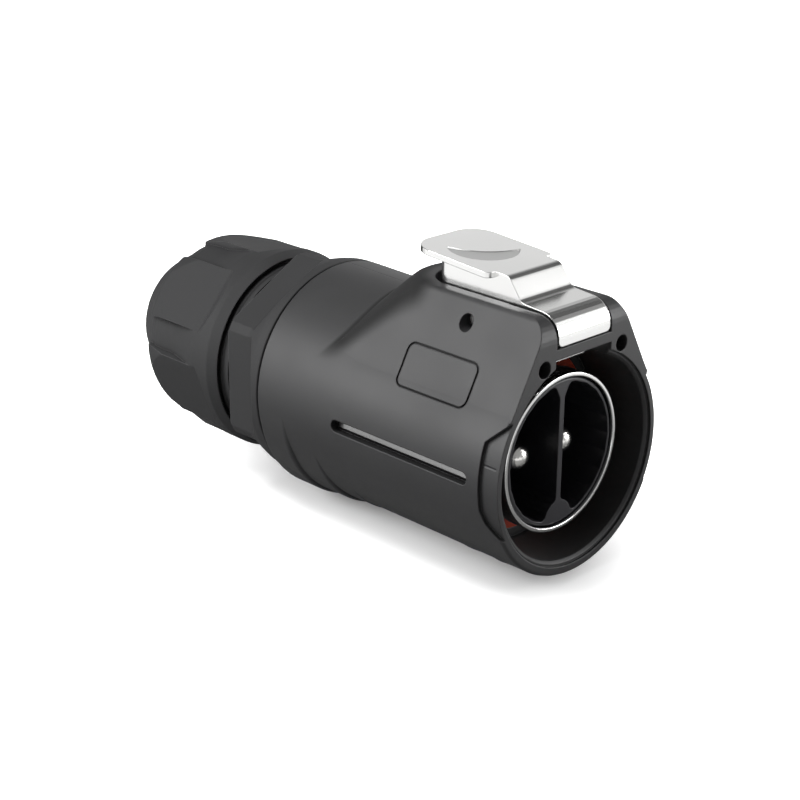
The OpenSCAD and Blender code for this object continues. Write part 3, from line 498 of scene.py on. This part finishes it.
def moulded(name, dark, pale, rough, grain_scale=3200.0, grain_depth=0.02, shine=0.5, edge=0.25, edge_highlight=0.035):
    """A material from the recipe: dark and pale are its colours, grain_depth and edge are in mm, and worn is
    what the edges are paler by."""
    material = new_material(name)
    tree = material.node_tree
    grain = place_group(tree, grain_group, {"Grain Scale": grain_scale, "Cloud Scale": CLOUD_SCALE})
    tint = mixed_colour(tree, grain.outputs["Cloud"], (*dark, 1), (*pale, 1))
    corner = tree.nodes.new("ShaderNodeAmbientOcclusion")
    corner.only_local = True
    corner.samples = 6
    corner.inputs["Distance"].default_value = CORNER_REACH
    open_air = soft_step(tree, corner.outputs["AO"], 0.55, 0.96)
    # Painted shade: the colour goes dark in the piece's inner corners, found by Ambient Occlusion.
    corner_shade_colour = (*[value * CORNER_SHADE_TONE for value in dark], 1)
    painted_corner_shade = mixed_colour(tree, open_air, corner_shade_colour, tint.outputs["Result"])
    painted_corner_shade.name = "painted_corner_shade"
    rounded = soft_edges(tree, edge * MM)
    edge_lean = place_group(tree, edge_group, {"Soft Normal": rounded})
    # Painted highlight: the colour is made paler along the edges, where the soft normal leans away from the true one.
    highlight_colour = (*[value + edge_highlight for value in pale], 1)
    with_edge_highlight = mixed_colour(tree, edge_lean.outputs["Mask"], painted_corner_shade.outputs["Result"], highlight_colour)
    bump = bumped(tree, grain.outputs["Height"], grain_depth * MM, rounded, 0.35)
    bump.name = "grain_bump"
    dull = calc(tree, "MULTIPLY_ADD", open_air, -CORNER_DULL, CORNER_DULL)
    skin = tree.nodes.new("ShaderNodeBsdfPrincipled")
    skin.name = "skin"
    skin.inputs["Specular IOR Level"].default_value = shine
    tree.links.new(with_edge_highlight.outputs["Result"], skin.inputs["Base Color"])
    drift = drifting(tree, grain.outputs["Cloud"], rough, ROUGH_SWING)
    tree.links.new(calc(tree, "ADD", drift, dull), skin.inputs["Roughness"])
    tree.links.new(bump.outputs["Normal"], skin.inputs["Normal"])
    tree.links.new(skin.outputs[0], tree.nodes["out"].inputs["Surface"])
    return material

nylon = moulded("charcoal_nylon", (0.021, 0.021, 0.022), (0.029, 0.029, 0.030), 0.50)
nut_nylon = moulded("nut_nylon", (0.023, 0.023, 0.024), (0.032, 0.032, 0.033), 0.66,
                    shine=0.34, grain_depth=0.03, edge_highlight=0.05, edge=0.32)
insulator_plastic = moulded("insulator_plastic", (0.012, 0.012, 0.015), (0.020, 0.020, 0.024), 0.38, grain_depth=0.01)
black_rubber = moulded("black_rubber", (0.012, 0.012, 0.012), (0.020, 0.020, 0.020), 0.68,
                       grain_scale=2200.0, grain_depth=0.03)
red_silicone = moulded("red_silicone", (0.46, 0.045, 0.018), (0.58, 0.065, 0.026), 0.42, grain_scale=2600.0)
print("moulded finishes: 5, of", len(nylon.node_tree.nodes), "nodes each")

# %% [markdown]
# The housing is the same nylon with more marks of its moulding. The hood's sloping tail is matt, with
# painted shade darkening its colour, and a wider Bevel radius there does what the mould's fillet does. Two
# short parting lines lie on top of the body and on the flat panel beside the mouth. The floor of each long
# slot is smooth, with a low crest along it, because the steel slide that forms it is polished and drafted both ways.

# %% Housing finish
TAIL_BEVEL, PLAIN_BEVEL = 2.4 * MM, 0.28 * MM
LINE_DEPTH = 0.12 * MM

def housing_finish(base):
    """A copy of the nylon: the Bevel radius grows on the tail, the parting lines are dug and the slots' floor is
    tilted by bumps of their own, and the roughness rises on the tail and falls in the slots."""
    material = base.copy()
    material.name = "housing_nylon"
    tree = material.node_tree
    tail = place_group(tree, tail_group, {"Reach": 2.0 * MM}).outputs["Mask"]
    painted_corner_shade = tree.nodes["painted_corner_shade"]
    open_air = painted_corner_shade.inputs["Factor"].links[0].from_socket
    # Painted shade: on the hood's tail the colour goes most of the way to the dark corner colour.
    tree.links.new(less_where(tree, open_air, tail, 0.9), painted_corner_shade.inputs["Factor"])
    x, y, z = coordinates(tree, "Object")
    near_side = calc(tree, "MULTIPLY", y, -1.0)
    marks = []
    for centre, half_width, start, end, across, outward in (
            (1.0, 0.16, -57.3, -43.2, y, z),
            (3.65, 0.28, -3.5, -0.7, z, near_side)):
        marks.append(place_group(tree, line_group, {
            "Centre": centre * MM, "Half Width": half_width * MM, "Start": start * MM, "End": end * MM,
            "Across": across, "Outward": outward}).outputs["Mask"])
    width = calc(tree, "MULTIPLY_ADD", tail, TAIL_BEVEL, PLAIN_BEVEL)
    dig = bumped(tree, calc(tree, "MAXIMUM", *marks), LINE_DEPTH, soft_edges(tree, width, 8))
    dig.invert = True
    slot = place_group(tree, slot_group, {"Steepness": 0.5})
    tilt = bumped(tree, slot.outputs["Slope"], 1.0, dig.outputs["Normal"])
    tree.links.new(tilt.outputs["Normal"], tree.nodes["grain_bump"].inputs["Normal"])
    skin = tree.nodes["skin"]
    rough = skin.inputs["Roughness"].links[0].from_socket
    rough = less_where(tree, rough, slot.outputs["Mask"], 0.45)
    tree.links.new(calc(tree, "MULTIPLY_ADD", tail, 0.35, rough), skin.inputs["Roughness"])
    return material

housing_nylon = housing_finish(nylon)
print("housing finish:", len(housing_nylon.node_tree.nodes), "nodes")

# %% [markdown]
# The latch and the shell are bright metal. Rolled sheet keeps very fine lines along the way it was
# rolled, so its bump comes from noise that is stretched along X, and its roughness drifts a little. A
# turned piece has its lines round its axis, so there the noise is stretched the other way.

# %% Metals
ROLLED = (60.0, 2600.0, 2600.0)
TURNED = (2600.0, 60.0, 60.0)
LINE_HEIGHT = 0.004
POLISH_SWING = 0.04

def bright_metal(name, colour, rough, line_scale=ROLLED, edge=0.12):
    """Metal with fine lines: noise on Object coordinates scaled by line_scale, small along the lines."""
    material = new_material(name)
    tree = material.node_tree
    where = tree.nodes.new("ShaderNodeTexCoord").outputs["Object"]
    stretch = tree.nodes.new("ShaderNodeMapping")
    stretch.inputs["Scale"].default_value = line_scale
    tree.links.new(where, stretch.inputs["Vector"])
    lines = noise(tree, stretch.outputs["Vector"], 1.0, 2.0)
    bump = bumped(tree, lines, LINE_HEIGHT * MM, soft_edges(tree, edge * MM), 0.25)
    polish = drifting(tree, noise(tree, where, 120.0, 3.0), rough, POLISH_SWING)
    skin = tree.nodes.new("ShaderNodeBsdfPrincipled")
    skin.name = "skin"
    skin.inputs["Base Color"].default_value = (*colour, 1)
    skin.inputs["Metallic"].default_value = 1.0
    tree.links.new(polish, skin.inputs["Roughness"])
    tree.links.new(bump.outputs["Normal"], skin.inputs["Normal"])
    tree.links.new(skin.outputs[0], tree.nodes["out"].inputs["Surface"])
    return material

latch_steel = bright_metal("latch_steel", (0.80, 0.80, 0.79), 0.18, edge=0.18)
pin_steel = bright_metal("pin_steel", (0.82, 0.82, 0.81), 0.34)
shell_plating = bright_metal("shell_plating", (0.78, 0.78, 0.77), 0.14, TURNED)
contact_silver = bright_metal("contact_silver", (0.86, 0.85, 0.82), 0.2, TURNED)
screw_brass = bright_metal("screw_brass", (0.70, 0.55, 0.28), 0.3)
print("metals: 5, of", len(pin_steel.node_tree.nodes), "nodes each")

# %% [markdown]
# The latch's thumb pad has a grey moon on it, which shows the finger where to press. The steel there is
# made matt and a little greyer, through a mask for colour and roughness and not a cut: the part inside
# one circle and outside a bigger one.

# %% Thumb mark
MOON_CIRCLE = (-23.22, 0.5, 6.2)
BITE_CIRCLE = (-30.51, 6.8, 11.4)
PAD_TOP, PAD_TOP_AT, PAD_SLOPE = 30.35, -11.05, -0.0682
CRESCENT_GREY = (0.58, 0.58, 0.575, 1)
CRESCENT_ROUGH = 0.5

def make_thumb_mark_group():
    """1 inside MOON_CIRCLE and outside BITE_CIRCLE (x, y, radius in mm), and only on the pad's sloping top."""
    group, enter, leave, (x, y, z) = new_mask_group("thumb_mark")
    def inside(centre_x, centre_y, radius):
        """1 inside a circle seen from above, with an edge a tenth of a millimetre wide."""
        dx, dy = calc(group, "SUBTRACT", x, centre_x * MM), calc(group, "SUBTRACT", y, centre_y * MM)
        depth = calc(group, "SUBTRACT", radius * MM, hypotenuse(group, dx, dy))
        return soft_step(group, depth, -0.05 * MM, 0.05 * MM)
    moon = calc(group, "MULTIPLY", inside(*MOON_CIRCLE), calc(group, "SUBTRACT", 1.0, inside(*BITE_CIRCLE)))
    pad_top = calc(group, "MULTIPLY_ADD", x, PAD_SLOPE, (PAD_TOP - PAD_TOP_AT * PAD_SLOPE) * MM)
    on_top = calc(group, "GREATER_THAN", z, calc(group, "SUBTRACT", pad_top, 0.3 * MM))
    group.links.new(calc(group, "MULTIPLY", moon, on_top), leave.inputs["Mask"])
    return group

def grey_crescent(material):
    """Blends the steel's colour and roughness towards a matt grey where the thumb mark is."""
    tree = material.node_tree
    skin = tree.nodes["skin"]
    mark = place_group(tree, make_thumb_mark_group(), {}).outputs["Mask"]
    tone = mixed_colour(tree, mark, skin.inputs["Base Color"].default_value, CRESCENT_GREY)
    tree.links.new(tone.outputs["Result"], skin.inputs["Base Color"])
    rough = skin.inputs["Roughness"].links[0].from_socket
    rough = calc(tree, "MAXIMUM", rough, calc(tree, "MULTIPLY", mark, CRESCENT_ROUGH))
    tree.links.new(rough, skin.inputs["Roughness"])

grey_crescent(latch_steel)
print("latch steel with its mark:", len(latch_steel.node_tree.nodes), "nodes")

# %% [markdown]
# Each solid gets the finish of the real piece, and a shape is never changed here: the solids are the
# record of what the plug is, and a finish only says what it is made of.

# %% Finishes on the solids
FINISH = {
    "housing": housing_nylon, "rear_adapter": nut_nylon, "gland_nut": nut_nylon,
    "clamp_claw": nylon, "insert_retainer": nylon,
    "insulator_front": insulator_plastic, "insulator_rear": insulator_plastic,
    "latch_lever": latch_steel, "latch_pin": pin_steel, "latch_spring": pin_steel,
    "contact_shell": shell_plating, "contact_pin_left": contact_silver, "contact_pin_right": contact_silver,
    "face_seal": red_silicone, "shell_oring": black_rubber, "contact_seal": black_rubber,
    "adapter_oring": black_rubber, "cable_seal": black_rubber,
    "terminal_screw_left_front": screw_brass, "terminal_screw_left_rear": screw_brass,
    "terminal_screw_right_front": screw_brass, "terminal_screw_right_rear": screw_brass,
}
for name, material in FINISH.items():
    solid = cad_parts[name]
    if not solid.material_slots:
        solid.data.materials.append(None)
    for slot in solid.material_slots:
        slot.material = material
print("finishes:", len(set(m.name for m in FINISH.values())), "on", len(FINISH), "solids")

# %% [markdown]
# Threads and springs are one kind of shape: a small section carried along a helix. The surface is a
# grid, in which each row is the section at one place on the way. A Screw modifier could turn one, but
# the formula also lets a thread fade out at its ends and a spring close its last turns.

# %% A mesh from rows of sections
def swept_mesh(name, points):
    """A closed mesh from points[row, corner]: each row is joined to the next, and both ends are capped.
    The faces come row by row, with the two caps last."""
    rows, across = points.shape[:2]
    row_start = np.arange(rows - 1)[:, None] * across
    here = (row_start + np.arange(across)).ravel()
    beside = (row_start + (np.arange(across) + 1) % across).ravel()
    walls = np.stack([here, beside, beside + across, here + across], axis=1)
    caps = [list(range(across))[::-1], [(rows - 1) * across + i for i in range(across)]]
    mesh = bpy.data.meshes.new(name)
    mesh.from_pydata(points.reshape(-1, 3).tolist(), [], walls.tolist() + caps)
    return mesh

def faces_outwards(mesh):
    """Turns every face of a closed mesh to point outwards."""
    solid = bmesh.new()
    solid.from_mesh(mesh)
    bmesh.ops.recalc_face_normals(solid, faces=solid.faces)
    solid.to_mesh(mesh)
    solid.free()

def new_piece(name, mesh, material):
    """An object in the scene that shows this mesh in this material."""
    mesh.materials.append(material)
    piece = bpy.data.objects.new(name, mesh)
    bpy.context.scene.collection.objects.link(piece)
    return piece

# %% [markdown]
# The rear adapter is screwed at both ends: into the housing, and into the gland nut. The solids leave
# both threads plain, because a fine thread would cost them thousands of faces. Here each thread is one
# low ridge with a flat crest, and both its ends fade to nothing, as a moulded thread's do.

# %% Threads on the adapter
RIDGE_SUNK = 0.15
RIDGE_FOOT, RIDGE_FLAT = 0.8, 0.3
STEPS_PER_TURN = 64

def helical_ridge(name, root, crest, x_front, x_rear, pitch):
    """Point(t, s): angle 2 pi t, x = x_front - pitch t, and s picks one of four section corners, which have a
    radius and a shift along x. The crest's height over the sunk foot is scaled by
    min(1, 4 t, 4 (turns - t)), so both ends fade out."""
    turns = (x_front - x_rear) / pitch
    t = np.linspace(0, turns, int(turns * STEPS_PER_TURN) + 1)[:, None]
    fade = np.minimum(1, np.minimum(4 * t, 4 * (turns - t)))
    foot = root - RIDGE_SUNK
    low, high = 0 * t + foot, foot + fade * (crest - foot)
    radius = np.concatenate([low, high, high, low], axis=1)
    shift = np.array([-0.5, -0.5 * RIDGE_FLAT, 0.5 * RIDGE_FLAT, 0.5]) * pitch * RIDGE_FOOT
    x = x_front - pitch * t + shift
    angle = 2 * math.pi * t
    mesh = swept_mesh(name, np.stack([x, radius * np.cos(angle), radius * np.sin(angle)], axis=-1) * MM)
    mesh.validate()
    faces_outwards(mesh)
    piece = new_piece(name, mesh, nut_nylon)
    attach(piece, "adapter")
    print(name, round(turns, 1), "turns,", len(mesh.polygons), "faces")
    return piece

helical_ridge("neck_thread", 17.5, 17.76, -71.0, -83.4, 2.0)
helical_ridge("nose_thread", 17.65, 17.92, -46.2, -57.0, 1.5)

# %% [markdown]
# The spring under the thumb pad is wound from round wire, with its first and last turns closed so that
# it stands flat. The solid in the frame is a coarse one and can't shorten. This finer coil takes its
# place.

# %% Latch spring
CLOSED_RISE = 2.05
WIRE_SIDES = 12
STEPS_PER_COIL = 48

def closed_coil(name, at, radius, wire, height, turns=7):
    """Point(t, s): angle 2 pi t on a coil whose middle line rises by CLOSED_RISE wire radii in both end turns
    and evenly between, and s runs round the wire: radius + wire cos s, rise + wire sin s."""
    t = np.linspace(0, turns, turns * STEPS_PER_COIL + 1)[:, None]
    s = np.linspace(0, 2 * math.pi, WIRE_SIDES, endpoint=False)[None, :]
    closed = CLOSED_RISE * wire
    middle = height - 2 * wire - 2 * closed
    rise = np.interp(t, [0, 1, turns - 1, turns], [0, closed, closed + middle, 2 * closed + middle])
    out = radius + wire * np.cos(s)
    angle = 2 * math.pi * t
    x, y = at[0] + out * np.cos(angle), at[1] + out * np.sin(angle)
    mesh = swept_mesh(name, np.stack([x, y, at[2] + wire + rise + wire * np.sin(s)], axis=-1) * MM)
    walls = len(mesh.polygons) - 2
    mesh.polygons.foreach_set("use_smooth", [True] * walls + [False, False])
    print(name, turns, "turns,", len(mesh.polygons), "faces")
    return new_piece(name, mesh, pin_steel)

spring = closed_coil("latch_coil", (-21.0, 0.0, 18.65), 2.6, 0.35, 11.1)
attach(spring, "housing")
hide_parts("latch_spring")
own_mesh(spring)
